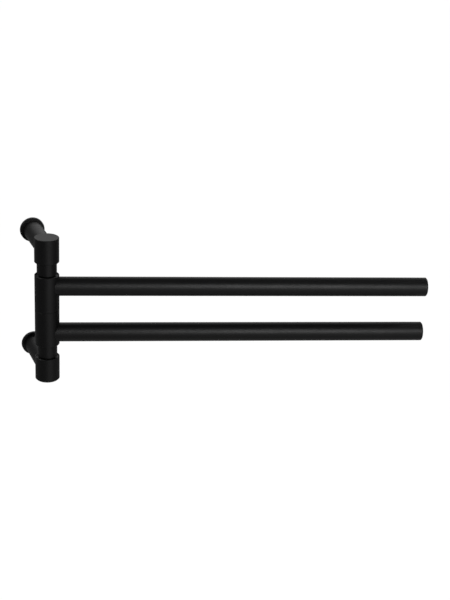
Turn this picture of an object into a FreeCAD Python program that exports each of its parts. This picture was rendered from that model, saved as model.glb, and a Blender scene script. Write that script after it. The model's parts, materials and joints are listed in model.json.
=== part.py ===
import FreeCAD, Part
import math
import os

# Swing arm towel bar: two round bars, one above the other, that swivel on one upright spindle.
# Two horizontal standoffs carry the spindle in front of the wall, each in a round head.
# Millimetres, +Z up. The wall is the plane y = 0 and +Y runs into it. The origin lies midway
# between the two wall screws. The spindle axis stands at y = -wall_reach.
# The arms are drawn at rest, turned out from the wall by rest_swing.

# ---- Driving dimensions ----

# Stack on the spindle, counted up and down from the seam between the two hubs
post_dia = 25.4            # heads and hubs
neck_dia = 20.6            # slimmer sleeves, one above the hubs and one below
hub_height = 38.5          # from the seam to the far end of each hub
neck_height = 14.0         # from a hub to the head beside it
head_height = 26.2
seam_gap = 0.2             # between the two hubs

# Arms
arm_reach = 400.0          # spindle axis to the free end of a bar
bar_dia = 20.0
bar_wall = 1.2
bar_inset = 2.9            # from the far end of a hub to its bar
rest_swing = 14.6          # degrees out from the wall
plug_length = 25.0         # solid plug in the root of each tube
cap_thickness = 2.0        # disc of an end cap
cap_spigot = 10.0          # part of an end cap inside the tube
cap_chamfer = 0.8

# Standoffs and wall fixings
wall_reach = 66.0          # wall to spindle axis
standoff_dia = 20.0
seat_step = 0.5            # the standoff is turned down by this under its flange
flange_dia = 26.0
flange_thickness = 3.5
flange_chamfer = 0.6
plate_dia = 15.0
plate_nose = 4.0           # wall plate beyond the axis of the grub screw
plate_front_room = 2.0     # free depth in front of the wall plate
grub_setback = 4.5         # flange to the axis of the grub screw
screw_hole_dia = 5.0       # for the wall screw
screw_sink_dia = 9.6       # countersink for its head

# Spindle, bushes, washers and neck sleeves
spindle_dia = 10.0
spindle_seat = 6.5         # full diameter inside the upper head
spindle_foot = 8.5         # full diameter inside the lower head
spindle_tip_dia = 8.0      # threaded tip in the upper head
spindle_tip = 9.0
bush_wall = 2.0
bush_length = 10.0
washer_dia = 17.0
washer_thickness = 1.8
washer_sink = 1.1          # how far the outer thrust washers sink below the face they lie in
shadow_gap = 1.5           # radial, their recesses stand open this far round the neck sleeves
wave_count = 3
wave_strip = 0.3           # thickness of the strip that the wave washer is cut from
wave_height = 1.2          # height of the wave washer over its waves
wave_width = 2.2
spigot_dia = 16.0          # a neck sleeve centres in what stands above it
spigot_length = 2.0

# Fasteners
stud_dia = 6.0             # joins a standoff to its head, or a bar to its hub
stud_grip = 12.0           # length of the stud in the standoff or in the root plug
stud_clear = 0.7           # from the stud's tip to the spindle, or to the bore of the hub
grub_dia = 4.0
grub_point_dia = 2.4       # slimmer round point of the grub screw
grub_point = 1.2           # its length, and the depth of the groove that it locks into
grub_recess = 0.3          # outer end below the surface of the standoff
grub_key = 2.0             # its hexagon socket, across flats
grub_socket = 1.6          # depth of that socket
foot_screw_dia = 6.0       # up through the lower head into the spindle
foot_screw_grip = 9.0      # its length in the spindle
foot_head_dia = 10.0
foot_head_height = 6.0
foot_recess = 0.4          # screw head below the bottom of the lower head
foot_key = 5.0             # its hexagon socket, across flats
foot_socket = 3.0          # depth of that socket
lock_thickness = 1.6       # split lock washer under that screw head
lock_width = 1.7
lock_split = 1.2

# Clearances and edges
fit = 0.05                 # radial, between pieces that seat in or on each other
running = 0.05             # radial, spindle in its bushes
free = 0.4                 # radial, round what only passes through
washer_free = 0.3          # radial, thrust washer in its recess
hole_spare = 1.0           # blind holes run on past the screw in them
edge = 0.4                 # chamfer on turned edges that show
seam_edge = 0.15           # finer chamfer at the seam between the hubs and under the necks
foot_chamfer = 1.2         # under the lower head
end_chamfer = 0.3          # on the ends of studs, plugs, screws and the spindle

# ---- Derived dimensions ----

post_r = post_dia / 2
neck_r = neck_dia / 2
bar_r = bar_dia / 2
tube_bore_r = bar_r - bar_wall
standoff_r = standoff_dia / 2
seat_r = standoff_r - seat_step
plate_r = plate_dia / 2
stud_r = stud_dia / 2
grub_r = grub_dia / 2
grub_point_r = grub_point_dia / 2
groove_floor = plate_r - grub_point
foot_screw_r = foot_screw_dia / 2
spindle_r = spindle_dia / 2
bush_r = spindle_r + running + bush_wall
hub_bore_r = bush_r + fit
passage_r = spindle_r + free
washer_r = washer_dia / 2
recess_r = washer_r + washer_free
open_recess_r = neck_r + shadow_gap
spigot_r = spigot_dia / 2

neck_gap = washer_thickness - washer_sink
seam_sink = (washer_thickness - seam_gap) / 2
head_low = hub_height + neck_height
head_top = head_low + head_height
standoff_height = head_low + head_height / 2
bar_height = hub_height - bar_inset - bar_r
spindle_shoulder = head_low + spindle_seat
spindle_top = spindle_shoulder + spindle_tip
spindle_bottom = -head_low - spindle_foot
washer_floor = -head_low - washer_sink
pocket_floor = washer_floor - wave_height
screw_head_low = foot_recess - head_top
screw_head_high = screw_head_low + foot_head_height
foot_floor = screw_head_high + lock_thickness

grub_place = flange_thickness + grub_setback
plate_length = grub_place + plate_nose
socket_floor = plate_length + plate_front_room
stud_end = post_r + stud_grip
head_stud_start = spindle_r + stud_clear
hub_stud_start = hub_bore_r + stud_clear
plug_start = post_r + fit
cap_seat = arm_reach - cap_thickness

ORIGIN = FreeCAD.Vector(0, 0, 0)
UP = FreeCAD.Vector(0, 0, 1)
DOWN = FreeCAD.Vector(0, 0, -1)
ALONG = FreeCAD.Vector(1, 0, 0)
INTO_WALL = FreeCAD.Vector(0, 1, 0)
FROM_WALL = FreeCAD.Vector(0, -1, 0)
SPINDLE_AXIS = FreeCAD.Vector(0, -wall_reach, 0)


# ---- Shape helpers ----

def turned(outline):
    """Solid of revolution about Z, from the corners (radius, height) of its half section."""
    corners = []
    for radius, height in outline:
        corner = FreeCAD.Vector(radius, 0, height)
        if not corners or corner.distanceToPoint(corners[-1]) > 1e-6:
            corners.append(corner)
    section = Part.Face(Part.makePolygon(corners + corners[:1]))
    return section.revolve(ORIGIN, UP, 360)


def sleeve(outer, bore, low, high, low_edge=0.0, high_edge=0.0):
    """Round tube about Z between two heights, its outer edges chamfered where an edge is given."""
    return turned([
        (bore, low), (outer - low_edge, low), (outer, low + low_edge),
        (outer, high - high_edge), (outer - high_edge, high), (bore, high),
    ])


def rod(radius, low, high, low_edge=end_chamfer, high_edge=end_chamfer):
    """Round bar about Z between two heights, its ends chamfered."""
    return sleeve(radius, 0, low, high, low_edge, high_edge)


def drill(radius, low, high):
    """Round cutter about Z between two heights."""
    return Part.makeCylinder(radius, high - low, FreeCAD.Vector(0, 0, low), UP)


def hexagon(across_flats, low, high):
    """Hexagonal cutter about Z between two heights."""
    corner_r = across_flats / math.sqrt(3)
    corners = []
    for number in range(7):
        angle = math.radians(60 * number)
        corners.append(FreeCAD.Vector(corner_r * math.cos(angle), corner_r * math.sin(angle), low))
    return Part.Face(Part.makePolygon(corners)).extrude(UP * (high - low))


def laid(shape, start, direction):
    """Turns a shape made about +Z to run from a start point along a direction."""
    placed = shape.copy()
    placed.Placement = FreeCAD.Placement(start, FreeCAD.Rotation(UP, direction))
    return placed


def at_height(height):
    return FreeCAD.Vector(0, 0, height)


# ---- Wall fixings, made about +Z from the wall outwards ----

def wall_plate():
    """Boss on the wall: countersunk for the wall screw, grooved for the grub screw's point."""
    sink = (screw_sink_dia - screw_hole_dia) / 2
    groove_start = grub_place - grub_point_r - fit
    groove_end = grub_place + grub_point_r + fit
    return turned([
        (screw_hole_dia / 2, 0), (plate_r, 0), (plate_r, groove_start),
        (groove_floor, groove_start), (groove_floor, groove_end), (plate_r, groove_end),
        (plate_r, plate_length), (screw_sink_dia / 2, plate_length),
        (screw_hole_dia / 2, plate_length - sink),
    ])


def wall_flange():
    """Rosette ring, trapped between the wall and the shoulder of its standoff."""
    return sleeve(flange_dia / 2, seat_r + fit, 0, flange_thickness, 0, flange_chamfer)


def standoff():
    """Horizontal post: a socket over the wall plate, a seat for the flange, coped to its head."""
    body = turned([
        (plate_r + fit, 0), (seat_r, 0), (seat_r, flange_thickness),
        (standoff_r, flange_thickness), (standoff_r, wall_reach), (0, wall_reach),
        (0, socket_floor), (plate_r + fit, socket_floor),
    ])
    head_start = FreeCAD.Vector(0, -post_dia, wall_reach)
    head_side = Part.makeCylinder(post_r + fit, 2 * post_dia, head_start, INTO_WALL)
    stud_hole = drill(stud_r + fit, wall_reach - stud_end - hole_spare, wall_reach)
    grub_hole = Part.makeCylinder(grub_r + fit, standoff_dia, at_height(grub_place), FROM_WALL)
    return body.cut([head_side, stud_hole, grub_hole])


def plate_grub():
    """Grub screw: its point drops into the wall plate's groove and locks the standoff on."""
    top = standoff_r - grub_recess
    tip = groove_floor + fit
    shoulder = plate_r + fit
    body = turned([
        (0, tip), (grub_point_r, tip), (grub_point_r, shoulder), (grub_r, shoulder),
        (grub_r, top - end_chamfer), (grub_r - end_chamfer, top), (0, top),
    ])
    return body.cut(hexagon(grub_key, top - grub_socket, top))


def fixing_nodes(level, height):
    """The pieces that hold one head off the wall, at the given height."""
    wall_point = at_height(height)
    grub_point = FreeCAD.Vector(0, -grub_place, height)
    stud = rod(stud_r, head_stud_start, stud_end)
    return {
        level + "_wall_plate": laid(wall_plate(), wall_point, FROM_WALL),
        level + "_wall_flange": laid(wall_flange(), wall_point, FROM_WALL),
        level + "_standoff": laid(standoff(), wall_point, FROM_WALL),
        level + "_plate_grub": laid(plate_grub(), grub_point, DOWN),
        level + "_standoff_stud": laid(stud, SPINDLE_AXIS + wall_point, INTO_WALL),
    }


# ---- Spindle and what stands still round it, made about the spindle axis ----

def stud_socket(height):
    """Threaded hole in the wall side of a head, for the stud of its standoff."""
    start = FreeCAD.Vector(0, head_stud_start - end_chamfer, height)
    return Part.makeCylinder(stud_r + fit, post_r, start, INTO_WALL)


def upper_head():
    """Flat-topped head: takes the spindle's threaded tip and the neck sleeve's spigot."""
    return rod(post_r, head_low, head_top, edge, edge).cut([
        drill(spigot_r + fit, head_low, head_low + spigot_length),
        drill(spindle_r + fit, head_low, spindle_shoulder),
        drill(spindle_tip_dia / 2 + fit, head_low, spindle_top + hole_spare),
        stud_socket(standoff_height),
    ])


def lower_head():
    """Foot of the post: open recess and spring pocket above, spindle socket, sunk screw below."""
    return rod(post_r, -head_top, -head_low, foot_chamfer, edge).cut([
        drill(open_recess_r, washer_floor, -head_low),
        drill(recess_r, pocket_floor, washer_floor),
        drill(spindle_r + fit, spindle_bottom, -head_low),
        drill(foot_screw_r + fit, -head_top, spindle_bottom),
        drill(foot_head_dia / 2 + free, -head_top, foot_floor),
        stud_socket(-standoff_height),
    ])


def spindle():
    """Fixed axle between the heads: shoulder and threaded tip above, screw hole below."""
    tip_r = spindle_tip_dia / 2
    body = turned([
        (0, spindle_bottom), (spindle_r - end_chamfer, spindle_bottom),
        (spindle_r, spindle_bottom + end_chamfer), (spindle_r, spindle_shoulder),
        (tip_r, spindle_shoulder), (tip_r, spindle_top - end_chamfer),
        (tip_r - end_chamfer, spindle_top), (0, spindle_top),
    ])
    hole_top = spindle_bottom + foot_screw_grip + hole_spare
    return body.cut(drill(foot_screw_r + fit, spindle_bottom, hole_top))


def foot_screw():
    """Socket head screw that clamps the lower head to the spindle from below."""
    head_r = foot_head_dia / 2
    tip = spindle_bottom + foot_screw_grip
    body = turned([
        (0, screw_head_low), (head_r - edge, screw_head_low), (head_r, screw_head_low + edge),
        (head_r, screw_head_high), (foot_screw_r, screw_head_high),
        (foot_screw_r, tip - end_chamfer), (foot_screw_r - end_chamfer, tip), (0, tip),
    ])
    return body.cut(hexagon(foot_key, screw_head_low, screw_head_low + foot_socket))


def lock_washer():
    """Split spring washer between the screw head and the lower head."""
    bore = foot_screw_r + fit
    ring = sleeve(bore + lock_width, bore, screw_head_high, foot_floor)
    slit = Part.makeBox(2 * post_r, lock_split, 4 * lock_thickness,
                        FreeCAD.Vector(0, -lock_split / 2, -2 * lock_thickness))
    middle = at_height((screw_head_high + foot_floor) / 2)
    slit.Placement = FreeCAD.Placement(middle, FreeCAD.Rotation(ALONG, 30))
    return ring.cut(slit)


def thrust_washer(low):
    """Flat polymer washer that a turning hub bears on."""
    return sleeve(washer_r, passage_r, low, low + washer_thickness)


def wave_line(radius, middle):
    """Closed wavy line round the spindle, at one radius of the wave washer."""
    swing = (wave_height - wave_strip) / 2
    steps = 8 * wave_count
    points = []
    for step in range(steps):
        angle = 2 * math.pi * step / steps
        height = middle + swing * math.cos(wave_count * angle)
        points.append(FreeCAD.Vector(radius * math.cos(angle), radius * math.sin(angle), height))
    line = Part.BSplineCurve()
    line.interpolate(Points=points, PeriodicFlag=True)
    return line.toShape()


def wave_washer():
    """Spring washer under the lowest thrust washer: its load gives the arms their friction."""
    inner_r = passage_r + free
    middle = (pocket_floor + washer_floor) / 2
    low, high = middle - wave_strip / 2, middle + wave_strip / 2
    inner_low, outer_low = wave_line(inner_r, low), wave_line(inner_r + wave_width, low)
    inner_high, outer_high = wave_line(inner_r, high), wave_line(inner_r + wave_width, high)
    sides = [
        Part.makeRuledSurface(inner_low, outer_low), Part.makeRuledSurface(outer_low, outer_high),
        Part.makeRuledSurface(outer_high, inner_high), Part.makeRuledSurface(inner_high, inner_low),
    ]
    shell = Part.Shell(sides)
    shell.sewShape()
    return Part.Solid(shell)


def neck_sleeve(bottom):
    """Spacer round the spindle, centred by its spigot in the piece above it."""
    top = bottom + neck_height - neck_gap
    spigot_top = top + spigot_length - fit
    return turned([
        (passage_r, bottom), (neck_r - seam_edge, bottom), (neck_r, bottom + seam_edge), (neck_r, top),
        (spigot_r, top), (spigot_r, spigot_top - end_chamfer),
        (spigot_r - end_chamfer, spigot_top), (passage_r, spigot_top),
    ])


def post_nodes():
    """The pieces on the spindle axis that stay with the wall."""
    pieces = {
        "upper_head": upper_head(),
        "lower_head": lower_head(),
        "spindle": spindle(),
        "foot_screw": foot_screw(),
        "lock_washer": lock_washer(),
        "upper_neck_sleeve": neck_sleeve(hub_height + neck_gap),
        "upper_thrust_washer": thrust_washer(hub_height - washer_sink),
        "middle_thrust_washer": thrust_washer(-washer_thickness / 2),
        "lower_thrust_washer": thrust_washer(washer_floor),
        "wave_washer": wave_washer(),
    }
    for piece in pieces.values():
        piece.translate(SPINDLE_AXIS)
    return pieces


# ---- Arms, made about the spindle axis with the bar along +X ----

def hub(far_recess_r, far_recess):
    """Bored hub above the seam: a washer recess at the seam and another recess at its far end."""
    body = sleeve(post_r, hub_bore_r, seam_gap / 2, hub_height, seam_edge, edge)
    return body.cut([
        drill(recess_r, 0, seam_gap / 2 + seam_sink),
        drill(far_recess_r, hub_height - far_recess, hub_height),
        Part.makeCylinder(stud_r + fit, post_dia, at_height(bar_height), ALONG),
    ])


def bar_tube():
    """Tube coped to the hub at its root and cut square at the end cap."""
    start = at_height(bar_height)
    body = Part.makeCylinder(bar_r, cap_seat, start, ALONG)
    bore = Part.makeCylinder(tube_bore_r, cap_seat, start, ALONG)
    hub_side = drill(post_r + fit, bar_height - bar_dia, bar_height + bar_dia)
    return body.cut([bore, hub_side])


def bar_plug():
    """Solid plug pressed into the root of the tube, threaded for the stud."""
    body = rod(tube_bore_r - fit, plug_start, plug_start + plug_length)
    return body.cut(drill(stud_r + fit, plug_start, stud_end + hole_spare))


def end_cap():
    """Disc with a spigot pressed into the free end of the tube."""
    spigot = tube_bore_r - fit
    spigot_low = cap_seat - cap_spigot
    return turned([
        (0, spigot_low), (spigot - end_chamfer, spigot_low), (spigot, spigot_low + end_chamfer),
        (spigot, cap_seat), (bar_r, cap_seat), (bar_r, arm_reach - cap_chamfer),
        (bar_r - cap_chamfer, arm_reach), (0, arm_reach),
    ])


def arm_nodes(level, far_recess_r, far_recess):
    """One arm as it stands above the seam."""
    bar_start = at_height(bar_height)
    near_bush = washer_thickness / 2
    far_bush = hub_height - far_recess
    return {
        level + "_hub": hub(far_recess_r, far_recess),
        level + "_hub_seam_bush": sleeve(bush_r, spindle_r + running, near_bush, near_bush + bush_length),
        level + "_hub_outer_bush": sleeve(bush_r, spindle_r + running, far_bush - bush_length, far_bush),
        level + "_bar_tube": bar_tube(),
        level + "_bar_plug": laid(bar_plug(), bar_start, ALONG),
        level + "_bar_stud": laid(rod(stud_r, hub_stud_start, stud_end), bar_start, ALONG),
        level + "_bar_end_cap": laid(end_cap(), bar_start, ALONG),
    }


def swung_out(pieces):
    """Turns an arm out from the wall and moves it to the spindle axis."""
    rest = FreeCAD.Placement(SPINDLE_AXIS, FreeCAD.Rotation(UP, -rest_swing))
    for piece in pieces.values():
        piece.Placement = rest.multiply(piece.Placement)
    return pieces


def upper_arm_nodes():
    return swung_out(arm_nodes("upper", open_recess_r, washer_sink))


def lower_arm_nodes():
    """The same arm turned over, with a neck sleeve under its hub."""
    pieces = arm_nodes("lower", spigot_r + fit, spigot_length)
    for piece in pieces.values():
        piece.rotate(ORIGIN, ALONG, 180)
    pieces["lower_neck_sleeve"] = neck_sleeve(neck_gap - head_low)
    return swung_out(pieces)


# ---- Assembly ----

def all_nodes():
    nodes = {}
    nodes.update(fixing_nodes("upper", standoff_height))
    nodes.update(fixing_nodes("lower", -standoff_height))
    nodes.update(post_nodes())
    nodes.update(upper_arm_nodes())
    nodes.update(lower_arm_nodes())
    return nodes


os.makedirs("parts", exist_ok=True)
for node, shape in all_nodes().items():
    solid = shape.Solids[0]
    print(node, "valid" if solid.isValid() and len(shape.Solids) == 1 else "BROKEN", round(solid.Volume, 2))
    solid.exportStep("parts/" + node + ".step")
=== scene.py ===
import json
import math

import bpy
from mathutils import Euler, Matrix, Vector

# Swing arm towel bar: finishes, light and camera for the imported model. Metres, +Z up.
# The wall would be the plane y = 0. The camera stands on the -Y side, to the left of the post.
# A direction is a bearing, from +Y towards +X, and a height above the level, in degrees.

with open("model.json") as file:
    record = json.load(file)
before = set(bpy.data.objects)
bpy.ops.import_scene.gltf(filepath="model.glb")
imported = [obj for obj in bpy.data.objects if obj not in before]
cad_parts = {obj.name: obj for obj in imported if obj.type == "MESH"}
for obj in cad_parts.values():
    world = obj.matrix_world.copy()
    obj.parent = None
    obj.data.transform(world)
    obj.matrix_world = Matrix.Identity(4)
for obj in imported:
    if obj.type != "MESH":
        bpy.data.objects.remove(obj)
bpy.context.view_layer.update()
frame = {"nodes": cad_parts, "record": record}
nodes = frame["nodes"]

# ---- Camera, from the photograph's outlines ----

CAMERA_PLACE = Vector((-0.2764, -1.2296, 0.4952))
CAMERA_YAW = 22.180        # degrees from +Y towards +X
CAMERA_PITCH = 21.897      # degrees downwards
CAMERA_ROLL = 2.880        # degrees about the line of sight
LENS_MM = 74.32
SENSOR_MM = 36.0
NEAREST_SEEN = 0.05
FARTHEST_SEEN = 100

# ---- Room and light ----

OBJECT_MIDDLE = Vector((0.16, -0.1, 0.0))

FLOOR_DROP = 1.1           # from the wall screws' middle to the floor
FLOOR_SIZE = 40.0
FLOOR_PAINT = 0.6
FLOOR_ROUGHNESS = 0.7
WHITE_SHARE = 0.9          # of what the camera sees of the floor; the rest is paint, with the shadow
WHITE_STRENGTH = 1.1       # brings that share and the paint to white together

# Patches of white round the piece: full up to inner degrees from their middle, gone at outer.
FRONT_PATCH = {"bearing": 168, "height": -12, "inner": 4, "outer": 38}
BACKDROP_PATCH = {"bearing": 15, "height": 24, "inner": 0, "outer": 37}
ROOM_LIGHT = 0.18          # strength of the world's light all round
BACKDROP_LIGHT = 0.5       # what the backdrop adds to it

SOFT_BOX_DISTANCE = 1.8
SOFT_BOXES = {
    "front_box": {"bearing": 181, "height": 21, "width": 0.56, "tall": 1.1, "radiance": 10.8},
    "right_box": {"bearing": 95, "height": 35, "width": 0.8, "tall": 0.8, "radiance": 6.0},
    "left_box": {"bearing": 275, "height": 35, "width": 0.8, "tall": 0.8, "radiance": 6.0},
}

# ---- Node helpers ----

def add_node(tree, kind, settings=None, inputs=None):
    """New shader node. An input is a plain value, or an output socket that is linked to it."""
    node = tree.nodes.new(kind)
    for name, value in (settings or {}).items():
        setattr(node, name, value)
    for name, value in (inputs or {}).items():
        if isinstance(value, bpy.types.NodeSocket):
            tree.links.new(value, node.inputs[name])
        else:
            node.inputs[name].default_value = value
    return node


def arithmetic(tree, operation, first, second):
    return add_node(tree, "ShaderNodeMath", {"operation": operation}, {0: first, 1: second}).outputs[0]


def vector_arithmetic(tree, operation, first, second=(0, 0, 0)):
    """A dot product gives a number, and the other operations a vector."""
    node = add_node(tree, "ShaderNodeVectorMath", {"operation": operation}, {0: first, 1: second})
    return node.outputs["Value" if operation == "DOT_PRODUCT" else "Vector"]


def spread(tree, value, low, high, to_low=0.0, to_high=1.0):
    """The value's stretch from low to high, mapped smoothly on to another and clamped."""
    node = add_node(tree, "ShaderNodeMapRange", {"interpolation_type": "SMOOTHSTEP"}, {
        "Value": value, "From Min": low, "From Max": high, "To Min": to_low, "To Max": to_high,
    })
    return node.outputs["Result"]


def blend_colours(tree, factor, first, second):
    """The first colour at factor 0 and the second at 1. Either may be an output socket."""
    node = add_node(tree, "ShaderNodeMix", {"data_type": "RGBA"})
    tree.links.new(factor, node.inputs["Factor"])
    for socket, colour in ((node.inputs["A"], first), (node.inputs["B"], second)):
        if isinstance(colour, bpy.types.NodeSocket):
            tree.links.new(colour, socket)
        else:
            socket.default_value = (*colour, 1.0)
    return node.outputs["Result"]


def noise(tree, feature_m, detail, stretch=(1, 1, 1)):
    """Noise from 0 to 1 whose features are about feature_m across, fixed to the piece."""
    place = add_node(tree, "ShaderNodeTexCoord").outputs["Object"]
    node = add_node(tree, "ShaderNodeTexNoise", None, {
        "Vector": vector_arithmetic(tree, "MULTIPLY", place, stretch),
        "Scale": 1 / feature_m, "Detail": detail, "Roughness": 0.6,
    })
    return node.outputs["Fac"]


def sharp_edge_mask(tree, radius, start, full):
    """0 on open faces and 1 on sharp edges, from how far a bevelled normal leaves the true one."""
    soft = add_node(tree, "ShaderNodeBevel", {"samples": 6}, {"Radius": radius}).outputs["Normal"]
    true = add_node(tree, "ShaderNodeNewGeometry").outputs["Normal"]
    agreement = vector_arithmetic(tree, "DOT_PRODUCT", soft, true)
    return spread(tree, arithmetic(tree, "SUBTRACT", 1.0, agreement), start, full)


def relief(tree, layers):
    """Bump from layers of (height from 0 to 1, depth in metres), finest last."""
    normal = None
    for height, depth in layers:
        inputs = {"Height": height, "Distance": depth, "Strength": 1.0}
        if normal:
            inputs["Normal"] = normal
        normal = add_node(tree, "ShaderNodeBump", None, inputs).outputs["Normal"]
    return normal


def new_material(name):
    """A material of the scene's own, and the tree of its nodes."""
    material = bpy.data.materials.new("scene_" + name)
    material.use_nodes = True
    return material, material.node_tree


def surface(material, colour, roughness, normal, metallic=0.0, specular=0.5):
    """Links the parts of a finish to the material's shader."""
    tree = material.node_tree
    shader = tree.nodes["Principled BSDF"]
    for socket, value in (("Base Color", colour), ("Roughness", roughness), ("Normal", normal)):
        tree.links.new(value, shader.inputs[socket])
    shader.inputs["Metallic"].default_value = metallic
    shader.inputs["Specular IOR Level"].default_value = specular
    return material


# ---- Finishes ----

NOISE_MIDDLE = (0.3, 0.7)      # most of a noise's values lie in here
NOISE_WHOLE = (0.2, 0.8)       # and nearly all of them in here
ACROSS_Z = (0.06, 0.06, 1.0)   # draws a noise out into lines that run across the z axis
POLISH_CLOUDS_M = 0.006
SATIN_DEPTH_M = 3e-6


def black_coat(name):
    """Matte black powder coat: orange peel, fine grain, and edges rubbed smoother and paler; the paler
    edges are partly wear and partly a painted highlight.
    """
    material, tree = new_material(name)
    peel = noise(tree, feature_m=0.0016, detail=1.0)
    grain = noise(tree, feature_m=0.00035, detail=3.0)
    handling = noise(tree, feature_m=0.045, detail=3.0)
    wear_and_highlight_patches = spread(tree, noise(tree, feature_m=0.004, detail=3.0), *NOISE_MIDDLE)
    edges = sharp_edge_mask(tree, radius=0.0005, start=0.02, full=0.16)
    # Edge mask for the rubbed finish; in the colour it also paints a highlight along the edges.
    rubbed_and_highlit = arithmetic(tree, "MULTIPLY", edges, wear_and_highlight_patches)
    colour = blend_colours(tree, grain, (0.0006, 0.0006, 0.0007), (0.0024, 0.0024, 0.0025))
    # Paler colour on the edges: partly wear, partly a painted highlight where the chamfers catch the
    # light.
    colour = blend_colours(tree, rubbed_and_highlit, colour, (0.012, 0.012, 0.0122))
    rough = spread(tree, handling, *NOISE_MIDDLE, to_low=0.40, to_high=0.44)
    smoothed = arithmetic(tree, "MULTIPLY", rubbed_and_highlit, 0.08)
    rough = arithmetic(tree, "SUBTRACT", rough, smoothed)
    normal = relief(tree, [(peel, 2.5e-5), (grain, 1.5e-5)])
    return surface(material, colour, rough, normal, specular=0.19)


def turned_metal(name, dark, light, low, high, line_m, depth):
    """Bare metal with fine tool lines and slightly uneven polish, its roughness from low to high."""
    material, tree = new_material(name)
    lines = noise(tree, line_m, detail=2.0, stretch=ACROSS_Z)
    clouds = noise(tree, POLISH_CLOUDS_M, detail=3.0)
    colour = blend_colours(tree, clouds, dark, light)
    both = arithmetic(tree, "ADD", lines, clouds)
    rough = spread(tree, both, 2 * NOISE_MIDDLE[0], 2 * NOISE_MIDDLE[1], low, high)
    return surface(material, colour, rough, relief(tree, [(lines, depth)]), metallic=1.0)


def steel(name):
    return turned_metal(
        name, dark=(0.50, 0.50, 0.51), light=(0.60, 0.60, 0.61),
        low=0.22, high=0.38, line_m=0.0002, depth=2e-6,
    )


def zinc_steel(name):
    return turned_metal(
        name, dark=(0.54, 0.56, 0.60), light=(0.66, 0.66, 0.64),
        low=0.24, high=0.42, line_m=0.0005, depth=3e-6,
    )


def spring_steel(name):
    return turned_metal(
        name, dark=(0.30, 0.29, 0.28), light=(0.40, 0.38, 0.36),
        low=0.28, high=0.42, line_m=0.0003, depth=2e-6,
    )


def black_screw(name):
    """Black oxide: dark, faintly glossy, with paler worn edges."""
    material, tree = new_material(name)
    grain = noise(tree, feature_m=0.0003, detail=3.0)
    edges = sharp_edge_mask(tree, radius=0.0002, start=0.03, full=0.3)
    colour = blend_colours(tree, grain, (0.018, 0.018, 0.020), (0.030, 0.029, 0.029))
    colour = blend_colours(tree, edges, colour, (0.10, 0.10, 0.105))
    rough = spread(tree, grain, *NOISE_WHOLE, to_low=0.34, to_high=0.50)
    return surface(material, colour, rough, relief(tree, [(grain, SATIN_DEPTH_M)]), metallic=0.6)


def polymer(name, dark, light, low, high, specular):
    """Moulded or turned plastic with a satin skin, its roughness from low to high."""
    material, tree = new_material(name)
    grain = noise(tree, feature_m=0.0004, detail=2.0)
    clouds = noise(tree, feature_m=0.008, detail=2.0)
    colour = blend_colours(tree, clouds, dark, light)
    rough = spread(tree, grain, *NOISE_WHOLE, to_low=low, to_high=high)
    return surface(material, colour, rough, relief(tree, [(grain, SATIN_DEPTH_M)]), specular=specular)


# Near-black colour with little gloss: painted shade for the dark gaps round the washers under the necks.
def black_polymer(name):
    return polymer(
        name, dark=(0.001, 0.001, 0.001), light=(0.002, 0.002, 0.002),
        low=0.6, high=0.8, specular=0.04,
    )


def white_polymer(name):
    return polymer(
        name, dark=(0.74, 0.73, 0.69), light=(0.80, 0.79, 0.75),
        low=0.38, high=0.5, specular=0.5,
    )


FINISHES = {
    "black_coat": black_coat,
    "steel": steel,
    "zinc_steel": zinc_steel,
    "black_screw": black_screw,
    "spring_steel": spring_steel,
    "black_polymer": black_polymer,
    "white_polymer": white_polymer,
}


def dress_nodes():
    """Gives each node the finish of its material slot in the record."""
    materials = {slot: make(slot) for slot, make in FINISHES.items()}
    for part in frame["record"]["subparts"]:
        mesh = nodes[part["node"]].data
        mesh.materials.clear()
        mesh.materials.append(materials[part["material_slot"]])


# ---- Room ----

def towards(bearing, height):
    """Unit vector of a direction."""
    level = math.cos(math.radians(height))
    turn = math.radians(bearing)
    return Vector((level * math.sin(turn), level * math.cos(turn), math.sin(math.radians(height))))


def glow(tree, direction, bearing, height, inner, outer):
    """From 1 to 0 round a bearing and height, as the direction leaves them by inner to outer degrees."""
    facing = vector_arithmetic(tree, "DOT_PRODUCT", direction, towards(bearing, height))
    return spread(tree, facing, math.cos(math.radians(outer)), math.cos(math.radians(inner)))


def shows_white(tree, patch):
    """1 to the camera, and the patch to reflections and through glass.

    With white all round them, the coat's dark sides would turn grey.
    """
    path = add_node(tree, "ShaderNodeLightPath").outputs
    mirrored = arithmetic(tree, "ADD", path["Is Glossy Ray"], path["Is Transmission Ray"])
    patch_seen = arithmetic(tree, "MULTIPLY", mirrored, patch)
    return arithmetic(tree, "MAXIMUM", path["Is Camera Ray"], patch_seen)


def floor_finish():
    """Pale paint, with white over most of it where shows_white gives 1."""
    material, tree = new_material("floor_paint")
    paint = tree.nodes["Principled BSDF"]
    paint.inputs["Base Color"].default_value = (FLOOR_PAINT, FLOOR_PAINT, FLOOR_PAINT, 1.0)
    paint.inputs["Roughness"].default_value = FLOOR_ROUGHNESS
    place = add_node(tree, "ShaderNodeNewGeometry").outputs["Position"]
    offset = vector_arithmetic(tree, "SUBTRACT", place, OBJECT_MIDDLE)
    front = glow(tree, vector_arithmetic(tree, "NORMALIZE", offset), **FRONT_PATCH)
    white = add_node(tree, "ShaderNodeEmission", None, {"Strength": WHITE_STRENGTH})
    share = arithmetic(tree, "MULTIPLY", shows_white(tree, front), WHITE_SHARE)
    mix = add_node(tree, "ShaderNodeMixShader", None, {"Fac": share})
    tree.links.new(paint.outputs[0], mix.inputs[1])
    tree.links.new(white.outputs[0], mix.inputs[2])
    tree.links.new(mix.outputs[0], tree.nodes["Material Output"].inputs["Surface"])
    return material


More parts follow.
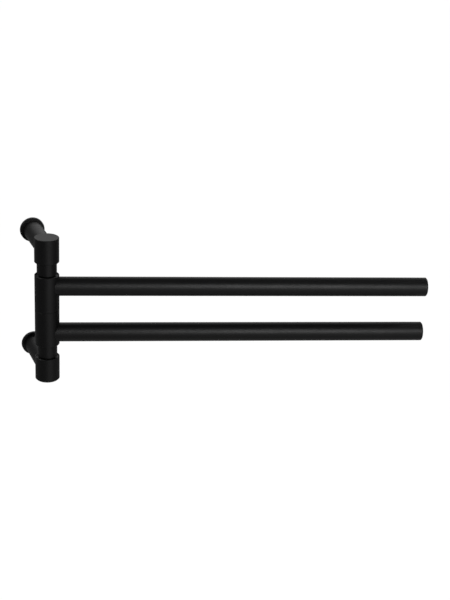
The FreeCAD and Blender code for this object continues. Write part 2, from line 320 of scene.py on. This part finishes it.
def add_floor():
    """Level square well below the piece."""
    half = FLOOR_SIZE / 2
    corners = [(-half, -half, 0), (half, -half, 0), (half, half, 0), (-half, half, 0)]
    mesh = bpy.data.meshes.new("floor")
    mesh.from_pydata(corners, [], [(0, 1, 2, 3)])
    mesh.materials.append(floor_finish())
    floor = bpy.data.objects.new("floor", mesh)
    floor.location.z = -FLOOR_DROP
    bpy.context.collection.objects.link(floor)


def light_world():
    """White to the camera. As light, dim all round and brighter at a backdrop behind the piece."""
    world = bpy.data.worlds.new("studio")
    bpy.context.scene.world = world
    world.use_nodes = True
    tree = world.node_tree
    direction = add_node(tree, "ShaderNodeTexCoord").outputs["Generated"]
    backdrop = glow(tree, direction, **BACKDROP_PATCH)
    light = arithmetic(tree, "MULTIPLY", backdrop, BACKDROP_LIGHT)
    light = arithmetic(tree, "ADD", light, ROOM_LIGHT)
    strength = arithmetic(tree, "MAXIMUM", light, shows_white(tree, backdrop))
    background = tree.nodes["Background"]
    background.inputs["Color"].default_value = (1, 1, 1, 1)
    tree.links.new(strength, background.inputs["Strength"])


def soft_box(name, bearing, height, width, tall, radiance):
    """Rectangular studio light that faces the piece."""
    light = bpy.data.lights.new(name, "AREA")
    light.shape = "RECTANGLE"
    light.size = width
    light.size_y = tall
    light.energy = math.pi * width * tall * radiance
    lamp = bpy.data.objects.new(name, light)
    lamp.location = OBJECT_MIDDLE + SOFT_BOX_DISTANCE * towards(bearing, height)
    lamp.rotation_euler = (OBJECT_MIDDLE - lamp.location).to_track_quat("-Z", "Y").to_euler()
    bpy.context.collection.objects.link(lamp)


def add_camera():
    data = bpy.data.cameras.new("camera")
    data.sensor_width = SENSOR_MM
    data.lens = LENS_MM
    data.clip_start = NEAREST_SEEN
    data.clip_end = FARTHEST_SEEN
    camera = bpy.data.objects.new("camera", data)
    pitch_from_down = math.radians(90 - CAMERA_PITCH)
    heading = Euler((pitch_from_down, 0, -math.radians(CAMERA_YAW))).to_matrix()
    tilt = Euler((0, 0, math.radians(CAMERA_ROLL))).to_matrix()
    camera.rotation_euler = (heading @ tilt).to_euler()
    camera.location = CAMERA_PLACE
    bpy.context.collection.objects.link(camera)
    bpy.context.scene.camera = camera


dress_nodes()
add_floor()
light_world()
for box_name, settings in SOFT_BOXES.items():
    soft_box(box_name, **settings)
add_camera()
bpy.context.scene.view_settings.view_transform = "Standard"
